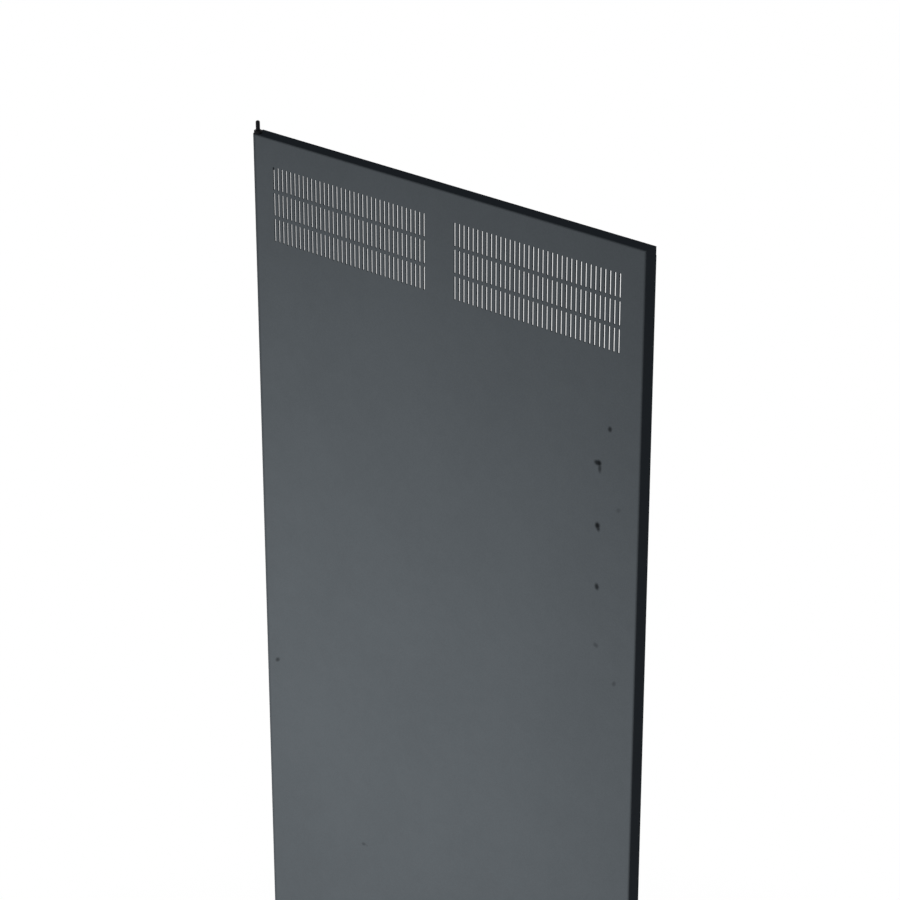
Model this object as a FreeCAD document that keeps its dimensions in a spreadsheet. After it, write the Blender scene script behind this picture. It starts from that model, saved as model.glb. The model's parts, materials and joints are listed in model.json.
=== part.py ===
import FreeCAD, Part
import math
import os
import re
import Sketcher

Vector = FreeCAD.Vector

# A vented rear door of an equipment rack, in millimetres.
# The origin is where the hinge axis meets the underside of the bottom washer.
# +Z is up, +X runs from the hinge edge to the lock edge, +Y from the front face into the rack.

document = FreeCAD.newDocument("vented_rack_door")
sheet = document.addObject("Spreadsheet::Sheet", "sizes")

DIMENSIONS = {
    # the folded door panel
    "door_width": 551.5,
    "door_height": 1956,
    "door_depth": 19,
    "flange_step": 2,
    "gauge": 1.5,
    "bend": 2.3,
    "lip": 13,
    "lip_relief": 10,
    "lip_mitre": 6,
    # the vent slots, two groups side by side under the top edge
    "slot_width": 2,
    "slot_length": 26.4,
    "slot_pitch": 6.35,
    "slots_in_row": 36,
    "row_pitch": 30.2,
    "rows": 3,
    "vent_top": 32.3,
    "vent_gap": 43.56,
    # the centre stiffener, a folded hat section behind the plain strip between the vents
    "crown_width": 18,
    "brim_width": 10,
    "stiffener_depth": 12,
    "stiffener_gauge": 1.2,
    "stiffener_bend": 1.8,
    "stiffener_gap": 3,
    # the hinge pins
    "hinge_inset": 4.5,
    "pin_diameter": 4.76,
    "running_gap": 0.1,
    "tip_height": 14.6,
    "pin_reach": 14,
    "nose": 2,
    "groove_width": 0.8,
    "groove_depth": 0.35,
    "stem_diameter": 3.2,
    "stem_gap": 0.1,
    "shoulder_depth": 10,
    "rivet_rim": 0.9,
    "rivet_diameter": "=stem_diameter + 2 * rivet_rim",
    "rivet_height": 1.4,
    # the washers on the hinge pins
    "washer_rim": 2.12,
    "washer_diameter": "=pin_diameter + 2 * washer_rim",
    "washer_thickness": 3.5,
    # the two folded hinge brackets
    "bracket_gauge": 1.5,
    "bracket_bend": 2,
    "bracket_height": 36,
    "bracket_start": 5,
    "bracket_width": 16,
    "ear_depth": 11,
    "ear_drop": 1,
    "ear_wall": 0.3,
    "ear_corner": 1.2,
    # the spring of the top pin
    "wire": 0.7,
    "coil_diameter": 4.5,
    "coil_turns": 10,
    "seat_gap": 0.02,
    # the finger pull of the top pin
    "pull_gauge": 1.5,
    "pull_width": 5.4,
    "pull_reach": 19,
    "pull_back": 2.6,
    "pull_drop": 9,
    "pull_bend": 2,
    # the cam lock
    "lock_inset": 27,
    "bezel_height": 2.5,
    "bezel_chamfer": 0.9,
    "dish": 1.2,
    "barrel_diameter": 18.8,
    "flat_depth": 1.45,
    "barrel_flats": "=barrel_diameter - 2 * flat_depth",
    "bezel_rim": 2.6,
    "bezel_diameter": "=barrel_diameter + 2 * bezel_rim",
    "hole_gap": 0.15,
    "plug_diameter": 12,
    "plug_gap": 0.08,
    "plug_recess": 0.5,
    "key_width": 1.8,
    "key_height": 7.5,
    "key_depth": 10,
    "drive": 7.4,
    "drive_gap": 0.05,
    "cam_clearance": 0.4,
    "cam_gauge": 2,
    "cam_width": 14,
    "cam_length": 37,
    "cam_corner": 3,
    "stop_gauge": 1,
    "stop_step": 0.6,
    "stop_diameter": "=barrel_diameter - 2 * stop_step",
    "hub_rim": 0.5,
    "hub_diameter": "=plug_diameter + 2 * hub_rim",
    "lug_width": 2,
    "lug_gap": 0.15,
    "nut_wall": 1.6,
    "nut_flats": "=barrel_diameter + 2 * nut_wall",
    "nut_height": 3.5,
    "tooth_ring": 0.8,
    "tooth_rim": 1.8,
    "tooth_diameter": "=barrel_diameter + 2 * tooth_rim",
    "tooth_count": 12,
    "tooth_width": 1.2,
    "tooth_depth": 0.8,
    "screw_diameter": 4,
    "screw_length": 9,
    "screw_gap": 0.05,
    "head_rim": 2,
    "head_diameter": "=screw_diameter + 2 * head_rim",
    "head_height": 2.4,
    "head_bevel": 1,
    "cross_width": 0.9,
    "cross_length": 4.2,
    "cross_depth": 1.2,
    "split_ring": 0.9,
    "split_rim": 1.7,
    "split_ring_diameter": "=screw_diameter + 2 * split_rim",
    "split_gap": 0.6,
    # the earth stud
    "stud_diameter": 6,
    "stud_length": 15,
    "collar_rim": 0.75,
    "stud_collar": "=stud_diameter + 2 * collar_rim",
    "collar_height": 1,
    "stud_point": 0.8,
    "stud_inset": 21.5,
    "stud_height": 130,
    "stud_washer_rim": 3.2,
    "stud_washer_diameter": "=stud_diameter + 2 * stud_washer_rim",
    "stud_washer_gauge": 1.5,
    "stud_nut_wall": 2,
    "stud_nut_flats": "=stud_diameter + 2 * stud_nut_wall",
    "stud_nut_height": 5,
    "thread_gap": 0.05,
    # the rubber bumpers
    "bumper_diameter": 9,
    "bumper_top": 7.6,
    "bumper_height": 2.5,
    "bumper_count": 4,
}

for row, (alias, content) in enumerate(DIMENSIONS.items(), 1):
    sheet.set("A%d" % row, alias)
    sheet.set("B%d" % row, str(content))
    sheet.setAlias("B%d" % row, alias)
document.recompute()


def linked(text):
    # writes out each size's name as its cell in the spreadsheet
    return re.sub(r"[a-z_]+", lambda word: "sizes." + word[0] if word[0] in DIMENSIONS else word[0], text)


def measure(text):
    # the present value of an expression on the sizes
    return float(sheet.evalExpression(linked(text)))


def bind(item, **texts):
    for name, text in texts.items():
        item.setExpression(name, linked(text))


def place(item, x, y, z):
    for name, text in zip("xyz", (x, y, z)):
        item.setExpression("Placement.Base." + name, linked(text))


def new_body(name, x, y, z):
    body = document.addObject("PartDesign::Body", name)
    body.Label = name
    place(body, x, y, z)
    return body


def datum(body, role):
    return next(item for item in body.Origin.OriginFeatures if item.Role == role)


def new_sketch(body, name, plane, offset="0"):
    sketch = body.newObject("Sketcher::SketchObject", body.Name + "_" + name)
    sketch.AttachmentSupport = (datum(body, plane + "_Plane"), [""])
    sketch.MapMode = "FlatFace"
    sketch.setExpression("AttachmentOffset.Base.z", linked(offset))
    return sketch


def tie(sketch, kind, owner, point, text):
    # holds one coordinate of a sketch's point to an expression
    value = measure(text)
    number = sketch.addConstraint(Sketcher.Constraint(kind, -1, 1, owner, point, value))
    sketch.setExpression("Constraints[%d]" % number, linked(text))


def add_outline(sketch, corners):
    # a closed outline of straight lines, with each corner tied to the sizes
    points = [Vector(measure(x), measure(y), 0) for x, y in corners]
    count = len(points)
    first = len(sketch.Geometry)
    for index, point in enumerate(points):
        sketch.addGeometry(Part.LineSegment(point, points[(index + 1) % count]), False)
    for index in range(count):
        following = first + (index + 1) % count
        sketch.addConstraint(Sketcher.Constraint("Coincident", first + index, 2, following, 1))
    for index, (x, y) in enumerate(corners):
        tie(sketch, "DistanceX", first + index, 1, x)
        tie(sketch, "DistanceY", first + index, 1, y)


def rectangle(x_low, x_high, y_low, y_high):
    return [(x_low, y_low), (x_high, y_low), (x_high, y_high), (x_low, y_high)]


def add_circle(sketch, diameter, x="0", y="0"):
    centre = Vector(measure(x), measure(y), 0)
    radius = measure(diameter) / 2
    circle = sketch.addGeometry(Part.Circle(centre, Vector(0, 0, 1), radius), False)
    tie(sketch, "DistanceX", circle, 3, x)
    tie(sketch, "DistanceY", circle, 3, y)
    number = sketch.addConstraint(Sketcher.Constraint("Diameter", circle, measure(diameter)))
    sketch.setExpression("Constraints[%d]" % number, linked(diameter))


def add_flatted_circle(sketch, diameter, flats, x="0", y="0"):
    # a round with one flat above and one below, as on a lock barrel
    radius = measure(diameter) / 2
    rise = measure(flats) / 2
    centre = Vector(measure(x), measure(y), 0)
    angle = math.asin(rise / radius)
    round_line = Part.Circle(centre, Vector(0, 0, 1), radius)
    right = sketch.addGeometry(Part.ArcOfCircle(round_line, -angle, angle), False)
    left = sketch.addGeometry(Part.ArcOfCircle(round_line, math.pi - angle, math.pi + angle), False)
    run = math.sqrt(radius ** 2 - rise ** 2)
    top_ends = [centre + Vector(run, rise, 0), centre + Vector(-run, rise, 0)]
    low_ends = [centre + Vector(-run, -rise, 0), centre + Vector(run, -rise, 0)]
    top = sketch.addGeometry(Part.LineSegment(*top_ends), False)
    low = sketch.addGeometry(Part.LineSegment(*low_ends), False)
    loop = (right, top, left, low)
    for index, line in enumerate(loop):
        sketch.addConstraint(Sketcher.Constraint("Coincident", line, 2, loop[(index + 1) % 4], 1))
    for arc in (right, left):
        tie(sketch, "DistanceX", arc, 3, x)
        tie(sketch, "DistanceY", arc, 3, y)
        number = sketch.addConstraint(Sketcher.Constraint("Diameter", arc, radius * 2))
        sketch.setExpression("Constraints[%d]" % number, linked(diameter))
    for line in (top, low):
        sketch.addConstraint(Sketcher.Constraint("Horizontal", line))
    tie(sketch, "DistanceY", top, 1, "(%s) + (%s) / 2" % (y, flats))
    tie(sketch, "DistanceY", low, 1, "(%s) - (%s) / 2" % (y, flats))


def extrude(kind, sketch, length, backwards=False):
    # a pad runs along its sketch's normal and a pocket against it, unless backwards is set
    body = sketch.getParentGeoFeatureGroup()
    feature = body.newObject("PartDesign::" + kind, sketch.Name + "_" + kind.lower())
    feature.Profile = sketch
    feature.Reversed = backwards
    bind(feature, Length=length)
    document.recompute()
    return feature


def revolve(sketch, axis):
    body = sketch.getParentGeoFeatureGroup()
    feature = body.newObject("PartDesign::Revolution", sketch.Name + "_turned")
    feature.Profile = sketch
    feature.ReferenceAxis = (datum(body, axis + "_Axis"), [""])
    feature.Angle = 360
    document.recompute()
    return feature


def edges_where(feature, wanted):
    return ["Edge%d" % number for number, edge in enumerate(feature.Shape.Edges, 1) if wanted(edge)]


def runs_along(edge, axis):
    # a straight edge parallel to x, y or z
    box = edge.BoundBox
    lengths = {"x": box.XLength, "y": box.YLength, "z": box.ZLength}
    return all((lengths[name] > 1e-4) == (name == axis) for name in lengths)


def passes(edge, **places):
    # an edge whose middle has the given coordinates
    middle = edge.BoundBox.Center
    return all(abs(getattr(middle, name) - value) < 1e-3 for name, value in places.items())


def ring_at(edge, diameter, **places):
    round_line = isinstance(edge.Curve, Part.Circle) and abs(edge.Curve.Radius * 2 - diameter) < 1e-3
    return round_line and passes(edge, **places)


def dress(kind, feature, wanted, text):
    # rounds or bevels the edges of a feature that pass a test
    body = feature.getParentGeoFeatureGroup()
    names = edges_where(feature, wanted)
    dressed = body.newObject("PartDesign::" + kind, "%s_%s" % (feature.Name, kind.lower()))
    dressed.Base = (feature, names)
    bind(dressed, **{"Radius" if kind == "Fillet" else "Size": text})
    document.recompute()
    return dressed


def mirror_across(body, features):
    copy = body.newObject("PartDesign::Mirrored", body.Name + "_mirrored")
    copy.Originals = features
    copy.MirrorPlane = (datum(body, "YZ_Plane"), [""])
    body.Tip = copy
    document.recompute()
    return copy


def make_door_panel():
    # one folded sheet: face, four flanges and a return lip on each long side
    body = new_body("door_panel", "door_width / 2 - hinge_inset", "-hinge_inset", "washer_thickness")
    half = "door_width / 2"

    block = new_sketch(body, "block", "XY")
    add_outline(block, rectangle("-" + half, half, "0", "door_depth"))
    solid = extrude("Pad", block, "door_height")
    solid = dress("Fillet", solid, lambda edge: passes(edge, y=0) and not runs_along(edge, "y"), "bend")

    hollow = new_sketch(body, "hollow", "XZ", "-door_depth")
    add_outline(hollow, rectangle("gauge - " + half, half + " - gauge", "gauge", "door_height - gauge"))
    solid = extrude("Pocket", hollow, "door_depth - gauge", backwards=True)
    inner_face = measure("gauge")
    side = measure("door_width / 2 - gauge")
    low = measure("gauge")
    high = measure("door_height - gauge")

    def inner_bend(edge):
        upright = runs_along(edge, "z") and abs(abs(edge.BoundBox.Center.x) - side) < 1e-3
        across = runs_along(edge, "x") and (passes(edge, z=low) or passes(edge, z=high))
        return passes(edge, y=inner_face) and (upright or across)

    solid = dress("Fillet", solid, inner_bend, "bend - gauge")

    # the end flanges, and the side flanges next to them, stop short of the lips
    ends = new_sketch(body, "ends", "XZ", "-door_depth")
    past = half + " + 1"
    add_outline(ends, rectangle("-(%s)" % past, past, "-1", "lip_relief"))
    add_outline(ends, rectangle("-(%s)" % past, past, "door_height - lip_relief", "door_height + 1"))
    extrude("Pocket", ends, "flange_step", backwards=True)

    # the side flanges give way to the bends of the lips, short of the door's ends
    lip_run = "door_height - 2 * lip_relief"
    notch = new_sketch(body, "notch", "XY", "lip_relief")
    add_outline(notch, rectangle("-" + half, "gauge - " + half, "door_depth - bend", "door_depth"))
    cut = extrude("Pocket", notch, lip_run, backwards=True)
    lip = new_sketch(body, "lip", "XY", "lip_relief")
    add_folded_lip(lip, "-" + half)
    fold = extrude("Pad", lip, lip_run)
    mitre_low = add_mitre(body, "mitre_low", "lip_relief", 1)
    mitre_high = add_mitre(body, "mitre_high", "door_height - lip_relief", -1)
    mirror_across(body, [cut, fold, mitre_low, mitre_high])

    bores = new_sketch(body, "pin_bores", "XY")
    add_circle(bores, "pin_diameter + 2 * running_gap", "hinge_inset - " + half, "hinge_inset")
    extrude("Pocket", bores, "door_height", backwards=True)

    lock_hole = new_sketch(body, "lock_hole", "XZ")
    add_flatted_circle(
        lock_hole,
        "barrel_diameter + 2 * hole_gap",
        "barrel_flats + 2 * hole_gap",
        half + " - lock_inset",
        "door_height / 2",
    )
    extrude("Pocket", lock_hole, "gauge")
    add_vents(body)
    return body


def add_folded_lip(sketch, edge):
    # a quarter bend off the side flange and the flat lip behind it
    x = measure(edge)
    depth, gauge, bend, lip = (measure(name) for name in ("door_depth", "gauge", "bend", "lip"))
    centre = Vector(x + bend, depth - bend, 0)
    quarter = math.pi / 2
    outer = sketch.addGeometry(
        Part.ArcOfCircle(Part.Circle(centre, Vector(0, 0, 1), bend), quarter, 2 * quarter), False
    )
    inner = sketch.addGeometry(
        Part.ArcOfCircle(Part.Circle(centre, Vector(0, 0, 1), bend - gauge), quarter, 2 * quarter), False
    )
    corners = [
        Vector(x + bend, depth, 0),
        Vector(x + lip, depth, 0),
        Vector(x + lip, depth - gauge, 0),
        Vector(x + bend, depth - gauge, 0),
    ]
    back = sketch.addGeometry(Part.LineSegment(corners[0], corners[1]), False)
    end = sketch.addGeometry(Part.LineSegment(corners[1], corners[2]), False)
    front = sketch.addGeometry(Part.LineSegment(corners[2], corners[3]), False)
    root_ends = [Vector(x + gauge, depth - bend, 0), Vector(x, depth - bend, 0)]
    root = sketch.addGeometry(Part.LineSegment(*root_ends), False)
    joins = (
        (outer, 1, back, 1),
        (back, 2, end, 1),
        (end, 2, front, 1),
        (front, 2, inner, 1),
        (inner, 2, root, 1),
        (root, 2, outer, 2),
    )
    for one, one_end, two, two_end in joins:
        sketch.addConstraint(Sketcher.Constraint("Coincident", one, one_end, two, two_end))
    for arc in (outer, inner):
        tie(sketch, "DistanceX", arc, 3, edge + " + bend")
        tie(sketch, "DistanceY", arc, 3, "door_depth - bend")
    tie(sketch, "DistanceX", back, 1, edge + " + bend")
    tie(sketch, "DistanceY", back, 1, "door_depth")
    tie(sketch, "DistanceX", end, 1, edge + " + lip")
    tie(sketch, "DistanceY", end, 1, "door_depth")
    tie(sketch, "DistanceX", end, 2, edge + " + lip")
    tie(sketch, "DistanceY", end, 2, "door_depth - gauge")
    tie(sketch, "DistanceX", front, 2, edge + " + bend")
    tie(sketch, "DistanceY", front, 2, "door_depth - gauge")
    tie(sketch, "DistanceY", root, 1, "door_depth - bend")
    tie(sketch, "DistanceY", root, 2, "door_depth - bend")


def add_mitre(body, name, level, turn):
    # cuts the free corner of a lip at a slant
    sketch = new_sketch(body, name, "XZ", "-door_depth")
    free_edge = "lip - door_width / 2"
    past = free_edge + " + 1"
    beyond = "%s - %d" % (level, turn)
    corners = [
        (free_edge + " - lip_mitre", level),
        (free_edge + " - lip_mitre", beyond),
        (past, beyond),
        (past, "%s + %d * lip_mitre" % (level, turn)),
        (free_edge, "%s + %d * lip_mitre" % (level, turn)),
    ]
    add_outline(sketch, corners)
    return extrude("Pocket", sketch, "gauge", backwards=True)


def add_vents(body):
    # one slot, repeated along its row, down the rows and across the middle of the door
    slot = new_sketch(body, "slot", "XZ")
    right = "-vent_gap / 2 + slot_width / 2"
    left = "-vent_gap / 2 - slot_width / 2"
    top = "door_height - vent_top"
    add_outline(slot, rectangle(left, right, top + " - slot_length", top))
    cut = extrude("Pocket", slot, "gauge")
    vents = body.newObject("PartDesign::MultiTransform", "vents")
    vents.Originals = [cut]
    along = body.newObject("PartDesign::LinearPattern", "vents_along")
    along.Direction = (datum(body, "X_Axis"), [""])
    along.Reversed = True
    bind(along, Length="slot_pitch * (slots_in_row - 1)", Occurrences="slots_in_row")
    down = body.newObject("PartDesign::LinearPattern", "vents_down")
    down.Direction = (datum(body, "Z_Axis"), [""])
    down.Reversed = True
    bind(down, Length="row_pitch * (rows - 1)", Occurrences="rows")
    across = body.newObject("PartDesign::Mirrored", "vents_across")
    across.MirrorPlane = (datum(body, "YZ_Plane"), [""])
    vents.Transformations = [along, down, across]
    body.Tip = vents
    document.recompute()


def make_centre_stiffener():
    # a hat section on the inside of the face, between the top and bottom flanges
    body = new_body(
        "centre_stiffener",
        "door_width / 2 - hinge_inset",
        "gauge - hinge_inset",
        "washer_thickness + gauge + stiffener_gap",
    )
    crown = "crown_width / 2"
    brim = "(crown_width / 2 + brim_width)"
    inner = "(crown_width / 2 - stiffener_gauge)"
    hat = new_sketch(body, "hat", "XY")
    corners = [
        ("-" + brim, "0"),
        ("-" + inner, "0"),
        ("-" + inner, "stiffener_depth - stiffener_gauge"),
        (inner, "stiffener_depth - stiffener_gauge"),
        (inner, "0"),
        (brim, "0"),
        (brim, "stiffener_gauge"),
        (crown, "stiffener_gauge"),
        (crown, "stiffener_depth"),
        ("-" + crown, "stiffener_depth"),
        ("-" + crown, "stiffener_gauge"),
        ("-" + brim, "stiffener_gauge"),
    ]
    add_outline(hat, corners)
    solid = extrude("Pad", hat, "door_height - 2 * gauge - 2 * stiffener_gap")
    crown_x, inner_x = measure(crown), measure(inner)
    depth, gauge = measure("stiffener_depth"), measure("stiffener_gauge")

    def upright_at(edge, x, y):
        return runs_along(edge, "z") and passes(edge, y=y) and abs(abs(edge.BoundBox.Center.x) - x) < 1e-3

    def outside(edge):
        return upright_at(edge, crown_x, depth) or upright_at(edge, inner_x, 0)

    def inside(edge):
        return upright_at(edge, inner_x, depth - gauge) or upright_at(edge, crown_x, gauge)

    solid = dress("Fillet", solid, outside, "stiffener_bend")
    dress("Fillet", solid, inside, "stiffener_bend - stiffener_gauge")
    return body


def make_turned_pin(name, outward, edge, tip, shoulder, stem_end, washer_side):
    # a pin with a bevelled nose, a shoulder and a thin stem that ends in a rivet head
    body = new_body(name, "0", "0", edge)
    rim = "pin_diameter / 2"
    stem = "stem_diameter / 2"
    head = "rivet_diameter / 2"
    groove = "pin_diameter / 2 - groove_depth"
    heights = [
        ("0", tip),
        (rim + " - nose", tip),
        (rim + " - nose * 0.29", tip + " - nose * 0.29"),
        (rim, tip + " - nose"),
        (rim, washer_side),
        (groove, washer_side),
        (groove, washer_side + " - groove_width"),
        (rim, washer_side + " - groove_width"),
        (rim, "-(%s)" % shoulder),
        (stem, "-(%s)" % shoulder),
        (stem, "-(%s)" % stem_end),
        (head, "-(%s)" % stem_end),
        (head + " - rivet_height / 2", "-(%s) - rivet_height" % stem_end),
        ("0", "-(%s) - rivet_height" % stem_end),
    ]
    profile = new_sketch(body, "profile", "XZ")
    add_outline(profile, [(x, "%d * (%s)" % (outward, z)) for x, z in heights])
    revolve(profile, "Z")
    return body


def make_hinge_bracket(name, outward, edge):
    # a folded bracket on the inside of the face, with two ears that reach over to the pin
    body = new_body(name, "0", "0", edge)
    face = "gauge - hinge_inset"
    outer = "gauge + ear_drop"
    inner = "gauge + ear_drop + bracket_height"

    def level(text):
        return "%d * (%s)" % (-outward, text)

    channel = new_sketch(body, "channel", "YZ", "bracket_start")
    corners = [
        (face, level(outer)),
        (face + " + ear_depth", level(outer)),
        (face + " + ear_depth", level(outer + " + bracket_gauge")),
        (face + " + bracket_gauge", level(outer + " + bracket_gauge")),
        (face + " + bracket_gauge", level(inner + " - bracket_gauge")),
        (face + " + ear_depth", level(inner + " - bracket_gauge")),
        (face + " + ear_depth", level(inner)),
        (face, level(inner)),
    ]
    add_outline(channel, corners)
    solid = extrude("Pad", channel, "bracket_width")
    outer_y = measure(face)
    inner_y = measure(face + " + bracket_gauge")

    def outside(edge):
        return runs_along(edge, "x") and passes(edge, y=outer_y)

    def inside(edge):
        return runs_along(edge, "x") and passes(edge, y=inner_y)

    solid = dress("Fillet", solid, outside, "bracket_bend")
    dress("Fillet", solid, inside, "bracket_bend - bracket_gauge")
    near = "-(pin_diameter / 2 + running_gap + ear_wall)"
    for ear, depth in (("outer_ear", outer), ("inner_ear", inner + " - bracket_gauge")):
        reach = new_sketch(body, ear, "XY", level(depth))
        corners = [
            (near + " + ear_corner", face),
            ("bracket_start", face),
            ("bracket_start", face + " + ear_depth"),
            (near, face + " + ear_depth"),
            (near, face + " + ear_corner"),
        ]
        add_outline(reach, corners)
        extrude("Pad", reach, "bracket_gauge", backwards=outward > 0)
    guide = new_sketch(body, "guide", "XY", level(outer))
    add_circle(guide, "pin_diameter + 2 * running_gap")
    extrude("Pocket", guide, "bracket_gauge", backwards=outward < 0)
    stem_hole = new_sketch(body, "stem_hole", "XY", level(inner + " - bracket_gauge"))
    add_circle(stem_hole, "stem_diameter + 2 * stem_gap")
    extrude("Pocket", stem_hole, "bracket_gauge", backwards=outward < 0)
    return body


def make_washer(name, z):
    body = new_body(name, "0", "0", z)
    ring = new_sketch(body, "ring", "XY")
    add_circle(ring, "washer_diameter")
    add_circle(ring, "pin_diameter + 2 * running_gap")
    extrude("Pad", ring, "washer_thickness")
    return body


def make_pin_pull(door_top):
    # a finger tab riveted to the stem, turned down at its free end
    body = new_body("top_pin_pull", "0", "0", door_top + " - gauge - ear_drop - bracket_height")
    tab = new_sketch(body, "tab", "XZ")
    corners = [
        ("-pull_back", "-pull_gauge"),
        ("pull_reach - pull_gauge", "-pull_gauge"),
        ("pull_reach - pull_gauge", "-pull_drop"),
        ("pull_reach", "-pull_drop"),
        ("pull_reach", "0"),
        ("-pull_back", "0"),
    ]
    add_outline(tab, corners)
    solid = extrude("Pad", tab, "pull_width")
    solid.Midplane = True
    document.recompute()
    reach = measure("pull_reach")
    gauge = measure("pull_gauge")
    drop = measure("pull_drop")

    def outside(edge):
        return runs_along(edge, "y") and passes(edge, x=reach, z=0)

    def inside(edge):
        return runs_along(edge, "y") and passes(edge, x=reach - gauge, z=-gauge)

    def free_end(edge):
        return runs_along(edge, "x") and passes(edge, z=-drop)

    solid = dress("Fillet", solid, outside, "pull_bend")
    solid = dress("Fillet", solid, inside, "pull_bend - pull_gauge")
    dress("Fillet", solid, free_end, "pull_width / 3")
    hole = new_sketch(body, "hole", "XY")
    add_circle(hole, "stem_diameter + 2 * drive_gap")
    extrude("Pocket", hole, "pull_gauge")
    return body


def make_pin_spring(door_top):
    # a compression spring with closed ends, between the pin's shoulder and the inner ear
    wire = measure("wire")
    radius = measure("coil_diameter / 2")
    turns = measure("coil_turns")
    gap = measure("seat_gap")
    low = measure("-(gauge + ear_drop + bracket_height - bracket_gauge)") + gap
    high = measure("-shoulder_depth") - gap
    open_turns = turns - 2
    open_pitch = (high - low - 3 * wire) / open_turns
    sides = 5
    steps_in_turn = 10
    wire_corner = wire / 2

    def height(turn):
        closed = min(turn, 1) + max(turn - turns + 1, 0)
        return low + wire_corner + wire * closed + open_pitch * min(max(turn - 1, 0), open_turns)

    sections = []
    for step in range(int(turns * steps_in_turn) + 1):
        turn = step / steps_in_turn
        angle = 2 * math.pi * turn
        outward = Vector(math.cos(angle), math.sin(angle), 0)
        centre = outward * radius + Vector(0, 0, height(turn))
        corners = []
        for corner in range(sides + 1):
            bearing = 2 * math.pi * (corner + 0.5) / sides
            flat = wire_corner * math.cos(bearing)
            rise = wire_corner * math.sin(bearing)
            corners.append(centre + outward * flat + Vector(0, 0, rise))
        corners[-1] = corners[0]
        sections.append(Part.makePolygon(corners))
    spring = document.addObject("Part::Feature", "top_pin_spring")
    spring.Label = "top_pin_spring"
    spring.Shape = Part.makeLoft(sections, True, True)
    place(spring, "0", "0", door_top)
    return spring


LOCK_X = "door_width - hinge_inset - lock_inset"
LOCK_Z = "washer_thickness + door_height / 2"
CAM_SEAT = "door_depth + cam_clearance"
BARREL_END = "door_depth + cam_clearance - stop_gauge"


def make_lock_body():
    # bezel and flatted barrel, with a lug at the back that stops the cam
    body = new_body("lock_body", LOCK_X, "-hinge_inset", LOCK_Z)
    bezel = new_sketch(body, "bezel", "XZ")
    add_circle(bezel, "bezel_diameter")
    solid = extrude("Pad", bezel, "bezel_height")
    rim = measure("bezel_diameter")
    front = -measure("bezel_height")
    dress("Chamfer", solid, lambda edge: ring_at(edge, rim, y=front), "bezel_chamfer")
    barrel = new_sketch(body, "barrel", "XZ")
    add_flatted_circle(barrel, "barrel_diameter", "barrel_flats")
    extrude("Pad", barrel, BARREL_END, backwards=True)
    bore = new_sketch(body, "bore", "XZ", "bezel_height")
    add_circle(bore, "plug_diameter + 2 * plug_gap")
    solid = extrude("Pocket", bore, "bezel_height + " + BARREL_END)
    hole = measure("plug_diameter + 2 * plug_gap")
    dress("Chamfer", solid, lambda edge: ring_at(edge, hole, y=front), "dish")
    lug = new_sketch(body, "lug", "XZ", "-(%s)" % BARREL_END)
    inner = "hub_diameter / 2 + lug_gap"
    add_outline(lug, rectangle("-lug_width / 2", "lug_width / 2", inner, "barrel_flats / 2"))
    extrude("Pad", lug, "stop_gauge - lug_gap", backwards=True)
    return body


def make_lock_plug():
    # the turning plug, with its keyway and the square that drives the cam
    body = new_body("lock_plug", LOCK_X, "-hinge_inset", LOCK_Z)
    core = new_sketch(body, "core", "XZ", "bezel_height - plug_recess")
    add_circle(core, "plug_diameter")
    extrude("Pad", core, "bezel_height - plug_recess + " + BARREL_END, backwards=True)
    square = new_sketch(body, "square", "XZ", "-(%s)" % BARREL_END)
    add_outline(square, rectangle("-drive / 2", "drive / 2", "-drive / 2", "drive / 2"))
    extrude("Pad", square, "stop_gauge + cam_gauge - drive_gap", backwards=True)
    key = new_sketch(body, "key", "XZ", "bezel_height - plug_recess")
    add_outline(key, rectangle("-key_width / 2", "key_width / 2", "-key_height / 2", "key_height / 2"))
    extrude("Pocket", key, "key_depth")
    thread = new_sketch(body, "thread", "XZ", "-(%s + cam_gauge)" % CAM_SEAT)
    add_circle(thread, "screw_diameter")
    extrude("Pocket", thread, "screw_length - split_ring + 1", backwards=True)
    return body


def make_hex_nut(name, x, y, z, flats, hole, height):
    # a hexagon nut with its axis along the depth of the door
    body = new_body(name, x, y, z)
    outline = new_sketch(body, "outline", "XZ")
    corners = []
    for index in range(6):
        bearing = math.pi * index / 3
        side = "(%s) / sqrt(3) * " % flats
        corners.append((side + "%.9f" % math.cos(bearing), side + "%.9f" % math.sin(bearing)))
    add_outline(outline, corners)
    add_circle(outline, hole)
    extrude("Pad", outline, height, backwards=True)
    return body


def make_lock_washer():
    # an internal-tooth washer between the face and the nut
    body = new_body("lock_washer", LOCK_X, "gauge - hinge_inset", LOCK_Z)
    ring = new_sketch(body, "ring", "XZ")
    add_circle(ring, "tooth_diameter")
    add_circle(ring, "barrel_diameter + 2 * drive_gap")
    extrude("Pad", ring, "tooth_ring", backwards=True)
    notch = new_sketch(body, "notch", "XZ")
    root = "barrel_diameter / 2"
    side = "tooth_width / 2"
    add_outline(notch, rectangle("-" + side, side, root + " - 1", root + " + tooth_depth"))
    cut = extrude("Pocket", notch, "tooth_ring")
    teeth = body.newObject("PartDesign::PolarPattern", "lock_washer_teeth")
    teeth.Originals = [cut]
    teeth.Axis = (datum(body, "Y_Axis"), [""])
    teeth.Angle = 360
    bind(teeth, Occurrences="tooth_count")
    body.Tip = teeth
    document.recompute()
    return body


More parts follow.
